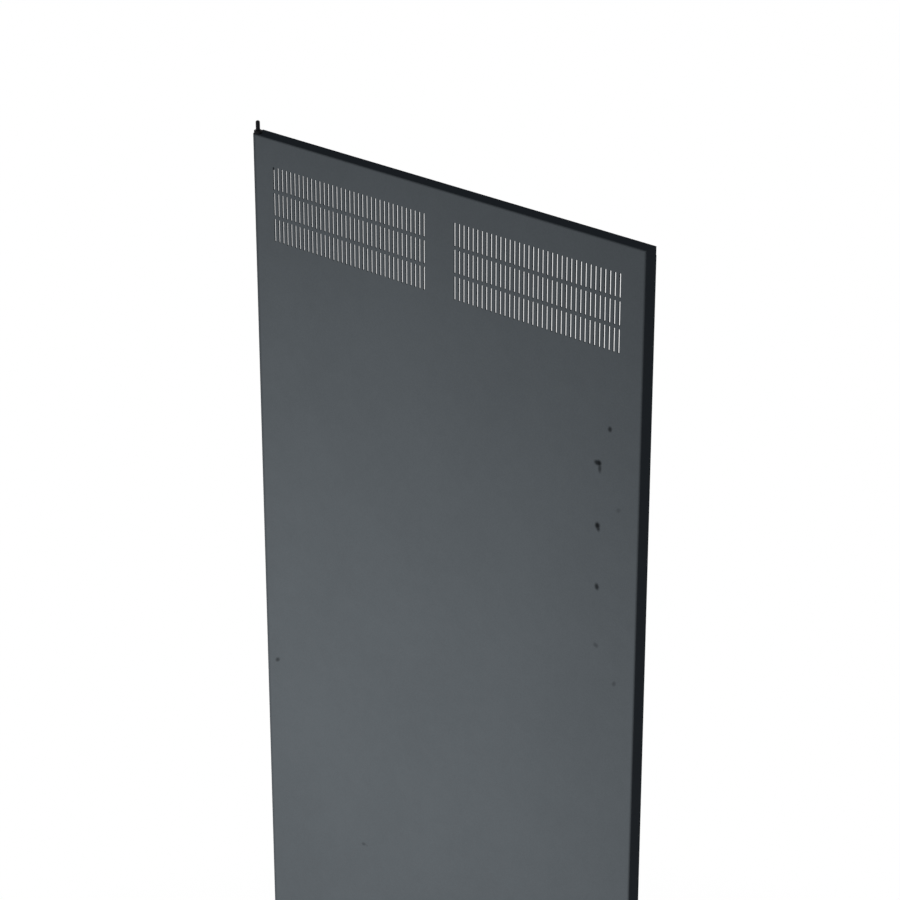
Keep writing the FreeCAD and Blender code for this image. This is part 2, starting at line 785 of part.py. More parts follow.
def make_cam_stop():
    # a disc on the plug's square, cut away over the quarter turn that the lug allows
    body = new_body("cam_stop", LOCK_X, BARREL_END + " - hinge_inset", LOCK_Z)
    disc = new_sketch(body, "disc", "XZ")
    add_circle(disc, "stop_diameter")
    extrude("Pad", disc, "stop_gauge", backwards=True)
    quarter = new_sketch(body, "quarter", "XZ")
    side = "-(lug_width / 2 + lug_gap)"
    past = "stop_diameter / 2 + 1"
    add_outline(quarter, rectangle(side, past, side, past))
    extrude("Pocket", quarter, "stop_gauge")
    hub = new_sketch(body, "hub", "XZ")
    add_circle(hub, "hub_diameter")
    extrude("Pad", hub, "stop_gauge", backwards=True)
    add_drive_hole(body, "stop_gauge")
    return body


def add_drive_hole(body, depth):
    square = new_sketch(body, "drive", "XZ")
    side = "drive / 2 + drive_gap"
    add_outline(square, rectangle("-(%s)" % side, side, "-(%s)" % side, side))
    extrude("Pocket", square, depth)


def make_lock_cam():
    # the flat arm that turns from straight down to out past the lock edge
    body = new_body("lock_cam", LOCK_X, CAM_SEAT + " - hinge_inset", LOCK_Z)
    arm = new_sketch(body, "arm", "XZ")
    add_outline(arm, rectangle("-cam_width / 2", "cam_width / 2", "-cam_length", "cam_width / 2"))
    solid = extrude("Pad", arm, "cam_gauge", backwards=True)
    dress("Fillet", solid, lambda edge: runs_along(edge, "y"), "cam_corner")
    add_drive_hole(body, "cam_gauge")
    return body


def make_split_ring():
    body = new_body("cam_split_ring", LOCK_X, CAM_SEAT + " + cam_gauge - hinge_inset", LOCK_Z)
    ring = new_sketch(body, "ring", "XZ")
    add_circle(ring, "split_ring_diameter")
    add_circle(ring, "screw_diameter + 2 * screw_gap")
    extrude("Pad", ring, "split_ring", backwards=True)
    gap = new_sketch(body, "gap", "XZ")
    add_outline(gap, rectangle("-split_gap / 2", "split_gap / 2", "0", "split_ring_diameter"))
    extrude("Pocket", gap, "split_ring")
    return body


def make_cam_screw():
    # a pan-head screw with a cross recess
    body = new_body("cam_screw", LOCK_X, CAM_SEAT + " + cam_gauge + split_ring - hinge_inset", LOCK_Z)
    head = new_sketch(body, "head", "XZ")
    add_circle(head, "head_diameter")
    solid = extrude("Pad", head, "head_height", backwards=True)
    rim, back = measure("head_diameter"), measure("head_height")
    dress("Chamfer", solid, lambda edge: ring_at(edge, rim, y=back), "head_bevel")
    shank = new_sketch(body, "shank", "XZ")
    add_circle(shank, "screw_diameter - 2 * screw_gap")
    extrude("Pad", shank, "screw_length")
    long_side = "cross_length / 2"
    short_side = "cross_width / 2"
    for name, wide, high in (("across", long_side, short_side), ("upright", short_side, long_side)):
        slot = new_sketch(body, name, "XZ", "-head_height")
        add_outline(slot, rectangle("-" + wide, wide, "-" + high, high))
        extrude("Pocket", slot, "cross_depth", backwards=True)
    return body


STUD_X = "stud_inset - hinge_inset"
STUD_Z = "washer_thickness + stud_height"
STUD_SEAT = "gauge + collar_height - hinge_inset"


def make_earth_stud():
    # a welded stud on the inside of the face
    body = new_body("earth_stud", STUD_X, "gauge - hinge_inset", STUD_Z)
    collar = new_sketch(body, "collar", "XZ")
    add_circle(collar, "stud_collar")
    extrude("Pad", collar, "collar_height", backwards=True)
    shank = new_sketch(body, "shank", "XZ")
    add_circle(shank, "stud_diameter")
    solid = extrude("Pad", shank, "stud_length", backwards=True)
    rim, end = measure("stud_diameter"), measure("stud_length")
    dress("Chamfer", solid, lambda edge: ring_at(edge, rim, y=end), "stud_point")
    return body


def make_earth_washer():
    body = new_body("earth_washer", STUD_X, STUD_SEAT, STUD_Z)
    ring = new_sketch(body, "ring", "XZ")
    add_circle(ring, "stud_washer_diameter")
    add_circle(ring, "stud_diameter + 2 * thread_gap")
    extrude("Pad", ring, "stud_washer_gauge", backwards=True)
    return body


def make_bumpers():
    # rubber bumpers on the lock-side lip, evenly spaced and clear of the lock
    pads = []
    for index in range(int(measure("bumper_count"))):
        pad = document.addObject("Part::Cone", "bumper_%d" % (index + 1))
        bind(pad, Radius1="bumper_diameter / 2", Radius2="bumper_top / 2", Height="bumper_height")
        pad.Placement.Rotation = FreeCAD.Rotation(Vector(1, 0, 0), -90)
        place(
            pad,
            "door_width - hinge_inset - lip / 2",
            "door_depth - hinge_inset",
            "washer_thickness + door_height * (%d + 0.5) / bumper_count" % index,
        )
        pads.append(pad)
    bumpers = document.addObject("Part::Compound", "door_bumpers")
    bumpers.Label = "door_bumpers"
    bumpers.Links = pads
    document.recompute()
    return bumpers


def make_everything():
    door_top = "washer_thickness + door_height"
    door_low = "washer_thickness"
    inner_ear = "gauge + ear_drop + bracket_height"
    return [
        make_door_panel(),
        make_centre_stiffener(),
        make_hinge_bracket("top_hinge_bracket", 1, door_top),
        make_turned_pin(
            "top_hinge_pin",
            1,
            door_top,
            "tip_height",
            "shoulder_depth",
            inner_ear + " + pull_gauge",
            "washer_thickness",
        ),
        make_pin_spring(door_top),
        make_pin_pull(door_top),
        make_washer("top_washer", door_top),
        make_hinge_bracket("bottom_hinge_bracket", -1, door_low),
        make_turned_pin(
            "bottom_hinge_pin",
            -1,
            door_low,
            "pin_reach",
            inner_ear + " - bracket_gauge",
            inner_ear,
            "washer_thickness",
        ),
        make_washer("bottom_washer", "0"),
        make_lock_body(),
        make_lock_plug(),
        make_hex_nut(
            "lock_nut",
            LOCK_X,
            "gauge + tooth_ring - hinge_inset",
            LOCK_Z,
            "nut_flats",
            "barrel_diameter + 2 * drive_gap",
            "nut_height",
        ),
        make_lock_washer(),
        make_cam_stop(),
        make_lock_cam(),
        make_split_ring(),
        make_cam_screw(),
        make_earth_stud(),
        make_earth_washer(),
        make_hex_nut(
            "earth_nut",
            STUD_X,
            STUD_SEAT + " + stud_washer_gauge",
            STUD_Z,
            "stud_nut_flats",
            "stud_diameter + 2 * thread_gap",
            "stud_nut_height",
        ),
        make_bumpers(),
    ]


pieces = make_everything()
document.recompute()
for item in document.Objects:
    if "Invalid" in item.State or "Error" in item.State:
        raise RuntimeError("%s could not be built" % item.Label)
for piece in pieces:
    if piece.Shape.isNull() or not piece.Shape.isValid() or not piece.Shape.Solids:
        raise RuntimeError("%s has no sound solid" % piece.Label)
os.makedirs("parts", exist_ok=True)
for piece in pieces:
    piece.Shape.exportStep("parts/%s.step" % piece.Label)
    box = piece.Shape.BoundBox
    print("%-22s solids %d, volume %.1f mm3, low (%.2f, %.2f, %.2f), high (%.2f, %.2f, %.2f)" % (
        piece.Label, len(piece.Shape.Solids), piece.Shape.Volume,
        box.XMin, box.YMin, box.ZMin, box.XMax, box.YMax, box.ZMax))
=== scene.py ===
import json
import math
import bmesh
import bpy
from mathutils import Matrix, Vector


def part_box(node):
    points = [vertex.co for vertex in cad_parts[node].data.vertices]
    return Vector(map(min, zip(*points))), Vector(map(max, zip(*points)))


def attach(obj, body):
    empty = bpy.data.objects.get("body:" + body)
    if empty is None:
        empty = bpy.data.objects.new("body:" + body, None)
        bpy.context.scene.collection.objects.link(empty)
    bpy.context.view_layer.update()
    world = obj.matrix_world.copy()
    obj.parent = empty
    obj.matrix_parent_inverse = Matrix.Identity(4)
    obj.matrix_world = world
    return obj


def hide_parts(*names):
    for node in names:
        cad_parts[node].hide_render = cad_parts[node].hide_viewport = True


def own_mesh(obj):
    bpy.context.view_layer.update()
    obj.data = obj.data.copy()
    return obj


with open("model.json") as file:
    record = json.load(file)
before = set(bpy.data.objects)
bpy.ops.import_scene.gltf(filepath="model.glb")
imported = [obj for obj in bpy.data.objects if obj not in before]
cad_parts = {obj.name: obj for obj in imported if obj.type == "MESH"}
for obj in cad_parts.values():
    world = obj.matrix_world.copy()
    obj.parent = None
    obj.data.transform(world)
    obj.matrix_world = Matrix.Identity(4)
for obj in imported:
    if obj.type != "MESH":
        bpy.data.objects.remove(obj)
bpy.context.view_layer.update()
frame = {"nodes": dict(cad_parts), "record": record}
nodes = frame["nodes"]
mm = 0.001


def newObject(name, data):
    thing = bpy.data.objects.new(name, data)
    bpy.context.scene.collection.objects.link(thing)
    return thing


# camera
cameraView = {
    "place": (2308.8, -2276.5, 3043.5),  # mm
    "turn": 41.667,                      # degrees
    "tilt": 24.405,
    "roll": -0.057,
    "picture": 900,                      # pixels across the photograph
    "focal": 3083.2,                     # in the same pixels
    "shift": (-0.3, 0.5),
    "sensor": 36,                        # mm
    "clip": (0.05, 60),                  # metres
}


def makeCamera(view):
    turn, tilt, roll = (math.radians(view[key]) for key in ("turn", "tilt", "roll"))
    forward = Vector((-math.sin(turn) * math.cos(tilt), math.cos(turn) * math.cos(tilt), -math.sin(tilt)))
    level = Vector((math.cos(turn), math.sin(turn), 0))
    upright = level.cross(forward)
    right = level * math.cos(roll) + upright * math.sin(roll)
    up = upright * math.cos(roll) - level * math.sin(roll)
    data = bpy.data.cameras.new("camera")
    data.sensor_width = view["sensor"]
    data.lens = view["focal"] * view["sensor"] / view["picture"]
    data.shift_x, data.shift_y = (part / view["picture"] for part in view["shift"])
    data.clip_start, data.clip_end = view["clip"]
    camera = newObject("camera", data)
    stand = Matrix((right, up, -forward)).transposed().to_4x4()
    stand.translation = Vector(view["place"]) * mm
    camera.matrix_world = stand
    bpy.context.scene.camera = camera


makeCamera(cameraView)
print("camera placed")


# short ways to write node trees
class Wire:
    # one output of a node; arithmetic on it adds Math nodes
    def __init__(self, net, socket):
        self.net, self.socket = net, socket

    def maths(self, operation, *values):
        return self.net.node("ShaderNodeMath", {"operation": operation}, dict(enumerate(values)))

    def __add__(self, other): return self.maths("ADD", self, other)
    def __radd__(self, other): return self.maths("ADD", other, self)
    def __sub__(self, other): return self.maths("SUBTRACT", self, other)
    def __rsub__(self, other): return self.maths("SUBTRACT", other, self)
    def __mul__(self, other): return self.maths("MULTIPLY", self, other)
    def __rmul__(self, other): return self.maths("MULTIPLY", other, self)
    def __truediv__(self, other): return self.maths("DIVIDE", self, other)
    def __rtruediv__(self, other): return self.maths("DIVIDE", other, self)
    def least(self, other): return self.maths("MINIMUM", self, other)
    def most(self, other): return self.maths("MAXIMUM", self, other)
    def below(self, other): return self.maths("LESS_THAN", self, other)
    def sine(self): return self.maths("SINE", self)
    def cosine(self): return self.maths("COSINE", self)

    def output(self, name):
        return Wire(self.net, self.socket.node.outputs[name])


class Net:
    # a node tree; settings go in first, then the values or links of the sockets
    def __init__(self, tree):
        self.tree = tree
        tree.nodes.clear()

    def node(self, kind, settings=None, values=None, output=0):
        made = self.tree.nodes.new(kind)
        for name, setting in (settings or {}).items():
            setattr(made, name, setting)
        for key, value in (values or {}).items():
            if isinstance(value, Wire):
                self.tree.links.new(value.socket, made.inputs[key])
            else:
                made.inputs[key].default_value = value
        return Wire(self, made.outputs[output]) if made.outputs else made

    def mixColour(self, factor, first, second):
        # a Mix node set to colours takes them at inputs 6 and 7 and gives its result at output 2
        first, second = (value if isinstance(value, Wire) else (*value, 1) for value in (first, second))
        values = {0: factor, 6: first, 7: second}
        return self.node("ShaderNodeMix", {"data_type": "RGBA"}, values, output=2)

    def noise(self, place, scale, detail=2, roughness=0.5):
        values = {"Vector": place, "Scale": scale, "Detail": detail, "Roughness": roughness}
        return self.node("ShaderNodeTexNoise", None, values)

    def bump(self, height, strength, distance):
        values = {"Height": height, "Strength": strength, "Distance": distance}
        return self.node("ShaderNodeBump", None, values)

    def ramp(self, value, low, high, start, end):
        values = {"Value": value, "From Min": low, "From Max": high, "To Min": start, "To Max": end}
        return self.node("ShaderNodeMapRange", {"interpolation_type": "SMOOTHSTEP"}, values)


def newFinish(name, fixed):
    # a material with one shader, whose fixed values are set on its own sockets
    material = bpy.data.materials.new(name)
    material.use_nodes = True
    net = Net(material.node_tree)
    shader = net.node("ShaderNodeBsdfPrincipled", None, fixed)
    net.node("ShaderNodeOutputMaterial", None, {"Surface": shader})
    place = net.node("ShaderNodeTexCoord", None, None, output="Object")
    return material, net, shader.socket.node, place


def feed(net, shader, **links):
    for name, wire in links.items():
        net.tree.links.new(wire.socket, shader.inputs[name.replace("_", " ")])


# finishes
powderCoat = {
    "colour": (0.0936, 0.1046, 0.1128),
    "spread": 0.06,            # share of the colour that the tone strays up and down
    "clouds": (
        {"scale": 7, "detail": 4, "weight": 0.6},  # scales are per metre
        {"scale": 60, "detail": 3, "weight": 0.4},
    ),
    "cloudRange": (0.3, 0.7),
    "grain": 750,              # per metre
    "grainRange": (0.35, 0.65),
    "grainDepth": 0.00006,     # metres
    "grainStrength": 0.35,
    "roughness": 0.62,
    "grainRoughness": 0.1,
}
chips = {
    "colour": (0.0098, 0.0108, 0.0118),
    "soft": (0.3, 1.3),        # where the tone starts and ends to fade, in half widths of a spot
    "ragged": {"scale": 420, "detail": 3, "amount": 0.25},  # the outline of each spot
    "frontDepth": 0.2,         # mm behind the front that still count as the face
    "depth": 2,
    "roughness": 0.15,
    "spots": (                 # mm from the left edge and from the top, width, height, degrees, strength
        (511.1, 206.0, 6.0, 7.2, 19, 0.75),
        (495.7, 248.4, 10.5, 6.9, -2, 0.86),
        (497.5, 248.2, 8.2, 7.4, -59, 0.94),
        (498.8, 253.5, 5.2, 12.7, 0, 0.62),
        (497.3, 320.3, 7.5, 9.2, 11, 0.95),
        (498.2, 322.8, 5.8, 8.9, -8, 0.75),
        (498.1, 391.5, 6.7, 8.8, -3, 0.8),
        (498.3, 461.3, 7.8, 6.2, 10, 0.34),
        (524.1, 498.9, 5.1, 7.7, 33, 0.34),
        (524.6, 294.3, 5.5, 7.8, 52, 0.22),
        (17.3, 650.2, 5.4, 9.2, 49, 0.57),
        (153.6, 849.1, 7.7, 4.4, -20, 0.37),
        (158.7, 849.3, 3.3, 2.5, 60, 0.2),
    ),
}
paintedBendShade = {
    # painted shade: the bend beside the hinge is painted a little darker than the face, most of all near
    # the top
    "colour": (0.04, 0.045, 0.05),
    "across": (3.2, 6.0),      # mm from the left edge
    "behind": (2.2, 4.0),      # mm behind the front
    "height": (1150, 1900),    # mm above the foot
    "strength": (0.3, 0.42),
}


def chipMask(net, place):
    ragged = chips["ragged"]
    wobble = (net.noise(place, ragged["scale"], ragged["detail"]) - 0.5) * ragged["amount"]
    left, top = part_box("door_panel")[0][0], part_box("door_panel")[1][2]
    total = None
    for across, down, width, height, turn, strength in chips["spots"]:
        spot = net.node("ShaderNodeMapping", {"vector_type": "TEXTURE"}, {
            "Vector": place,
            "Location": (left + across * mm, 0, top - down * mm),
            "Rotation": (0, math.radians(turn), 0),
            "Scale": (width / 2 * mm, 1, height / 2 * mm),
        })
        reach = net.node("ShaderNodeVectorMath", {"operation": "LENGTH"}, {0: spot}, output="Value")
        mask = net.ramp(reach + wobble, *chips["soft"], strength, 0.0)
        total = mask if total is None else total.most(mask)
    return total


def paintedBendShadeMask(net, across, behind, height):
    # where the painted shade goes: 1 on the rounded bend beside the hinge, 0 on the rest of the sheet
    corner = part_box("door_panel")[0]
    near, far = (corner[0] + edge * mm for edge in paintedBendShade["across"])
    mask = net.ramp(across, near, far, 1.0, 0.0)
    near, far = (corner[1] + edge * mm for edge in paintedBendShade["behind"])
    mask = mask * net.ramp(behind, near, far, 1.0, 0.0)
    foot, top = (edge * mm for edge in paintedBendShade["height"])
    return mask * net.ramp(height, foot, top, *paintedBendShade["strength"])


def makePowderCoat(name, chipped):
    look = powderCoat
    material, net, shader, place = newFinish(name, {"Specular IOR Level": 0.0, "Metallic": 0.0})
    broad, close = (
        net.noise(place, cloud["scale"], cloud["detail"]) * cloud["weight"] for cloud in look["clouds"]
    )
    clouds = net.ramp(broad + close, *look["cloudRange"], 0.0, 0.5)
    grain = net.noise(place, look["grain"])
    tone = clouds + net.ramp(grain, *look["grainRange"], 0.0, 0.5)
    dark, light = ([part * (1 + way * look["spread"]) for part in look["colour"]] for way in (-1, 1))
    paint = net.mixColour(tone, dark, light)
    relief = grain
    sheen = look["roughness"] + (grain - 0.5) * look["grainRoughness"]
    if chipped:
        across = net.node("ShaderNodeSeparateXYZ", None, {0: place})
        behind, height = across.output("Y"), across.output("Z")
        # painted shade: darkens the bend beside the hinge
        paint = net.mixColour(paintedBendShadeMask(net, across, behind, height), paint, paintedBendShade["colour"])
        onFace = behind.below(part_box("door_panel")[0][1] + chips["frontDepth"] * mm)
        mask = chipMask(net, place) * onFace
        paint = net.mixColour(mask, paint, chips["colour"])
        relief = relief - mask * chips["depth"]
        sheen = sheen + mask * chips["roughness"]
    peel = net.bump(relief, look["grainStrength"], look["grainDepth"])
    feed(net, shader, Base_Color=paint, Roughness=sheen, Normal=peel)
    return material


metals = {
    "zincPlate": {"colour": (0.52, 0.53, 0.55), "roughness": 0.34, "cloud": 0.12, "scale": 260},
    "springSteel": {"colour": (0.33, 0.33, 0.34), "roughness": 0.3, "cloud": 0.2, "scale": 500},
    "lockChrome": {"colour": (0.66, 0.67, 0.69), "roughness": 0.12, "cloud": 0.04, "scale": 160},
}
metalGrain = {
    "clouds": {"detail": 4, "roughness": 0.6}, "range": (0.35, 0.65), "cloudShare": 0.25,
    "fine": 9, "fineShare": 0.08,        # grains per cloud, and how much each sways the roughness
    "strength": 0.12, "depth": 0.00002,  # depth in metres
}


def makeMetal(name, look):
    material, net, shader, place = newFinish(name, {"Metallic": 1.0})
    cloud = net.noise(place, look["scale"], **metalGrain["clouds"])
    fine = net.noise(place, look["scale"] * metalGrain["fine"])
    dull = [part * (1 - look["cloud"]) for part in look["colour"]]
    colour = net.mixColour(net.ramp(cloud, *metalGrain["range"], 0.0, 1.0), dull, look["colour"])
    roughness = look["roughness"] + (cloud - 0.5) * metalGrain["cloudShare"]
    roughness = roughness + (fine - 0.5) * metalGrain["fineShare"]
    relief = net.bump(fine, metalGrain["strength"], metalGrain["depth"])
    feed(net, shader, Base_Color=colour, Roughness=roughness, Normal=relief)
    return material


darkFinishes = {
    "blackOxide": {"colour": (0.006, 0.0065, 0.008), "roughness": 0.45, "scale": 900, "specular": 0.1},
    "blackNylon": {"colour": (0.007, 0.007, 0.008), "roughness": 0.55, "scale": 1500, "specular": 0.1},
    "blackRubber": {"colour": (0.012, 0.012, 0.012), "roughness": 0.85, "scale": 1200, "specular": 0.15},
}
darkSpeckle = {
    "detail": 3, "range": (0.4, 0.7), "paler": 1.5,
    "roughness": 0.2, "strength": 0.2, "depth": 0.00002,
}


def makeDark(name, look):
    fixed = {"Specular IOR Level": look["specular"], "Metallic": 0.0}
    material, net, shader, place = newFinish(name, fixed)
    speckle = net.noise(place, look["scale"], darkSpeckle["detail"])
    paler = [part * darkSpeckle["paler"] for part in look["colour"]]
    colour = net.mixColour(net.ramp(speckle, *darkSpeckle["range"], 0.0, 1.0), look["colour"], paler)
    roughness = look["roughness"] + (speckle - 0.5) * darkSpeckle["roughness"]
    relief = net.bump(speckle, darkSpeckle["strength"], darkSpeckle["depth"])
    feed(net, shader, Base_Color=colour, Roughness=roughness, Normal=relief)
    return material


coats = {"panelCoat": True, "innerCoat": False}  # with the marks or without
finishes = {name: makePowderCoat(name, chipped) for name, chipped in coats.items()}
finishes.update((name, makeMetal(name, look)) for name, look in metals.items())
finishes.update((name, makeDark(name, look)) for name, look in darkFinishes.items())
slotFinish = {
    "powder_coat": "innerCoat",
    "black_oxide": "blackOxide",
    "spring_steel": "springSteel",
    "zinc": "zincPlate",
    "black_nylon": "blackNylon",
    "lock_chrome": "lockChrome",
    "black_rubber": "blackRubber",
}
nodeSlots = {part["node"]: part["material_slot"] for part in frame["record"]["subparts"]}


def coat(thing, finish):
    if not thing.data.materials:
        thing.data.materials.append(finish)
    for slot in thing.material_slots:
        slot.material = finish


for name, node in nodes.items():
    coat(node, finishes[slotFinish[nodeSlots[name]]])
coat(nodes["door_panel"], finishes["panelCoat"])
print("finishes made")


# shapes turned on a lathe
def turnedPoint(axis, centre, along, reach, bearing):
    across, other = reach * math.cos(bearing), reach * math.sin(bearing)
    spot = (across, along, other) if axis == "y" else (across, other, along)
    return Vector([(a + b) * mm for a, b in zip(centre, spot)])


def turnedMesh(name, profile, axis, centre, segments=48):
    # a profile lists (along, reach) in mm, or functions of the bearing that give them
    # it starts and ends on the axis, or else it closes on itself as a ring
    work = bmesh.new()
    rings = []
    for spot in profile:
        if not callable(spot) and spot[1] == 0:
            rings.append([work.verts.new(turnedPoint(axis, centre, spot[0], 0, 0))] * segments)
            continue
        ring = []
        for step in range(segments):
            bearing = 2 * math.pi * step / segments
            along, reach = spot(bearing) if callable(spot) else spot
            ring.append(work.verts.new(turnedPoint(axis, centre, along, reach, bearing)))
        rings.append(ring)
    pairs = list(zip(rings, rings[1:]))
    if rings[0][0] is not rings[0][1]:
        pairs.append((rings[-1], rings[0]))
    for one, two in pairs:
        for step in range(segments):
            after = (step + 1) % segments
            corners = []
            for corner in (one[step], one[after], two[after], two[step]):
                if corner not in corners:
                    corners.append(corner)
            work.faces.new(corners)
    bmesh.ops.recalc_face_normals(work, faces=work.faces)
    mesh = bpy.data.meshes.new(name)
    work.to_mesh(mesh)
    work.free()
    return mesh


def addBlock(work, size, centre):
    # a block with its size and centre in mm
    stretch = Matrix.Diagonal((*(Vector(size) * mm), 1))
    bmesh.ops.create_cube(work, size=1, matrix=Matrix.Translation(Vector(centre) * mm) @ stretch)


def plainMesh(holder):
    # the mesh with its modifiers run, after which the object goes
    bpy.context.view_layer.update()
    ready = holder.evaluated_get(bpy.context.evaluated_depsgraph_get())
    mesh = bpy.data.meshes.new_from_object(ready)
    holder.modifiers.clear()
    bpy.data.objects.remove(holder)
    return mesh


sharpAngle = 32  # degrees between two faces that show as an edge


def addPiece(name, mesh, finish, body, replaced=()):
    mesh.shade_smooth()
    mesh.set_sharp_from_angle(angle=math.radians(sharpAngle))
    piece = newObject(name, mesh)
    mesh.materials.clear()
    mesh.materials.append(finishes[finish])
    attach(piece, body)
    if replaced:
        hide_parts(*replaced)
    return piece


def roundedEnd(along, reach, radius, steps=6):
    # a quarter round from the end face to the side, for the end of a pin
    turns = [math.pi / 2 * step / steps for step in range(steps + 1)]
    return [(along - radius + radius * math.cos(a), reach - radius + radius * math.sin(a)) for a in turns]


def footCentre(node, rise=0.0):
    # the middle of a node's front side, in mm
    low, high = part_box(node)
    return ((low[0] + high[0]) / 2 / mm, low[1] / mm + rise, (low[2] + high[2]) / 2 / mm)


# hinge pins and washers
pinLook = {
    "radius": 2.38, "stem": 1.6, "edge": 0.2, "foot": 3.5, "earGauge": 1.5,
    "nose": 2.0, "noseSteps": 8, "groove": 2.03, "grooveWidth": 0.8,
    "rivet": 2.5, "rivetHeight": 1.4, "rivetEase": 0.15,
    "rivetRings": (0.25, 0.8, 1.6), "rivetSlope": 0.35,  # rings inwards from the rivet's rim
}


def pinProfile(tip, shoulder, stemEnd):
    # heights are measured outwards from the door's edge
    look = pinLook
    rim, stem, edge, groove = (look[key] for key in ("radius", "stem", "edge", "groove"))
    rivet, ease, cap = look["rivet"], look["rivetEase"], -stemEnd - look["rivetHeight"]
    grooveTop = look["foot"]
    grooveLow = grooveTop - look["grooveWidth"]
    profile = [(tip, 0)] + roundedEnd(tip, rim, look["nose"], look["noseSteps"])
    profile += [(grooveTop + edge, rim), (grooveTop, rim - edge), (grooveTop, groove)]
    profile += [(grooveLow, groove), (grooveLow, rim)]
    profile += [(-shoulder + edge, rim), (-shoulder, rim - edge), (-shoulder, stem), (-stemEnd, stem)]
    profile += [(-stemEnd, rivet - ease), (-stemEnd - ease, rivet)]
    profile += [(cap + inset * look["rivetSlope"], rivet - inset) for inset in look["rivetRings"]]
    return profile + [(cap, 0)]


def makePins():
    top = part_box("door_panel")[1][2] / mm
    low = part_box("door_panel")[0][2] / mm
    rivet = pinLook["rivetHeight"]
    tail, tip = (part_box("top_hinge_pin")[side][2] / mm - top for side in (0, 1))
    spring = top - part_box("top_pin_spring")[1][2] / mm
    mesh = turnedMesh("topHingePin", pinProfile(tip, spring, -tail - rivet), "z", (0, 0, top))
    addPiece("topHingePin", mesh, "blackOxide", "hinge_pin", ["top_hinge_pin"])
    tail, tip = (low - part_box("bottom_hinge_pin")[side][2] / mm for side in (1, 0))
    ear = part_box("bottom_hinge_bracket")[1][2] / mm - low
    lower = pinProfile(tip, ear - pinLook["earGauge"], -tail - rivet)
    mesh = turnedMesh("bottomHingePin", [(-along, reach) for along, reach in lower], "z", (0, 0, low))
    addPiece("bottomHingePin", mesh, "blackOxide", "door", ["bottom_hinge_pin"])


washerLook = {"radius": 4.5, "bore": 2.48, "height": 3.5, "edge": 0.5}


def makeWashers():
    rim, bore, high, edge = (washerLook[key] for key in ("radius", "bore", "height", "edge"))
    loop = [(0, bore), (0, rim - edge), (edge, rim), (high - edge, rim), (high, rim - edge), (high, bore)]
    for name, node in (("topWasher", "top_washer"), ("bottomWasher", "bottom_washer")):
        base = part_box(node)[0][2] / mm
        mesh = turnedMesh(name, loop, "z", (0, 0, base))
        addPiece(name, mesh, "blackNylon", "door", [node])


makePins()
makeWashers()
print("pins and washers turned")


# geometry nodes
def growTree(name, inputs, build):
    # a geometry tree with named inputs that ends in real geometry with one material
    tree = bpy.data.node_groups.new(name, "GeometryNodeTree")
    keys = {}
    tree.interface.new_socket("Geometry", in_out="INPUT", socket_type="NodeSocketGeometry")
    for label, (kind, value) in inputs.items():
        item = tree.interface.new_socket(label, in_out="INPUT", socket_type="NodeSocket" + kind)
        if value is not None:
            item.default_value = value
        keys[label] = item.identifier
    tree.interface.new_socket("Geometry", in_out="OUTPUT", socket_type="NodeSocketGeometry")
    net = Net(tree)
    start = net.node("NodeGroupInput")
    shape = build(net, start)
    shape = net.node("GeometryNodeRealizeInstances", None, {"Geometry": shape})
    dressed = {"Geometry": shape, "Material": start.output("Material")}
    shape = net.node("GeometryNodeSetMaterial", None, dressed)
    net.node("NodeGroupOutput", None, {"Geometry": shape})
    return tree, keys


def grown(name, seed, tree, keys, values):
    # runs a tree on a mesh and keeps the result as a plain mesh
    holder = newObject(name, seed)
    modifier = holder.modifiers.new("grow", "NODES")
    modifier.node_group = tree
    for label, value in values.items():
        modifier[keys[label]] = value
    mesh = plainMesh(holder)
    mesh.name = name
    return mesh


def buildCoil(net, start):
    # a wire that climbs round the axis, with its end turns closed up
    steps = start.output("Steps in a turn")
    turns, closed = start.output("Turns"), start.output("Closed turns")
    wire, reach = start.output("Wire radius"), start.output("Coil radius")
    low, high = start.output("Low end"), start.output("High end")
    line = net.node("GeometryNodeMeshLine", {"mode": "OFFSET"}, {"Count": turns * steps + 1})
    turn = net.node("GeometryNodeInputIndex") / steps
    climb = (high - low - wire * 2 - closed * wire * 4) / (turns - closed * 2)
    ends = turn.least(closed) + (turn - turns + closed).most(0)
    middle = (turn - closed).most(0).least(turns - closed * 2)
    height = low + wire + ends * wire * 2 + middle * climb
    angle = turn * (2 * math.pi)
    place = {"X": angle.cosine() * reach, "Y": angle.sine() * reach, "Z": height}
    place = net.node("ShaderNodeCombineXYZ", None, place)
    line = net.node("GeometryNodeSetPosition", None, {"Geometry": line, "Position": place})
    path = net.node("GeometryNodeMeshToCurve", None, {"Mesh": line})
    ring = {"Radius": wire, "Resolution": start.output("Sides")}
    ring = net.node("GeometryNodeCurvePrimitiveCircle", {"mode": "RADIUS"}, ring)
    swept = {"Curve": path, "Profile Curve": ring, "Fill Caps": True}
    return net.node("GeometryNodeCurveToMesh", None, swept)


def buildRows(net, start):
    # copies of the seed mesh on the points of a line of lines
    def line(count, step):
        values = {"Count": start.output(count), "Offset": start.output(step)}
        return net.node("GeometryNodeMeshLine", {"mode": "OFFSET"}, values)

    rows = net.node("GeometryNodeInstanceOnPoints", None,
                    {"Points": line("Rows", "Row step"), "Instance": line("Count", "Step")})
    points = net.node("GeometryNodeRealizeInstances", None, {"Geometry": rows})
    return net.node("GeometryNodeInstanceOnPoints", None,
                    {"Points": points, "Instance": start.output("Geometry")})


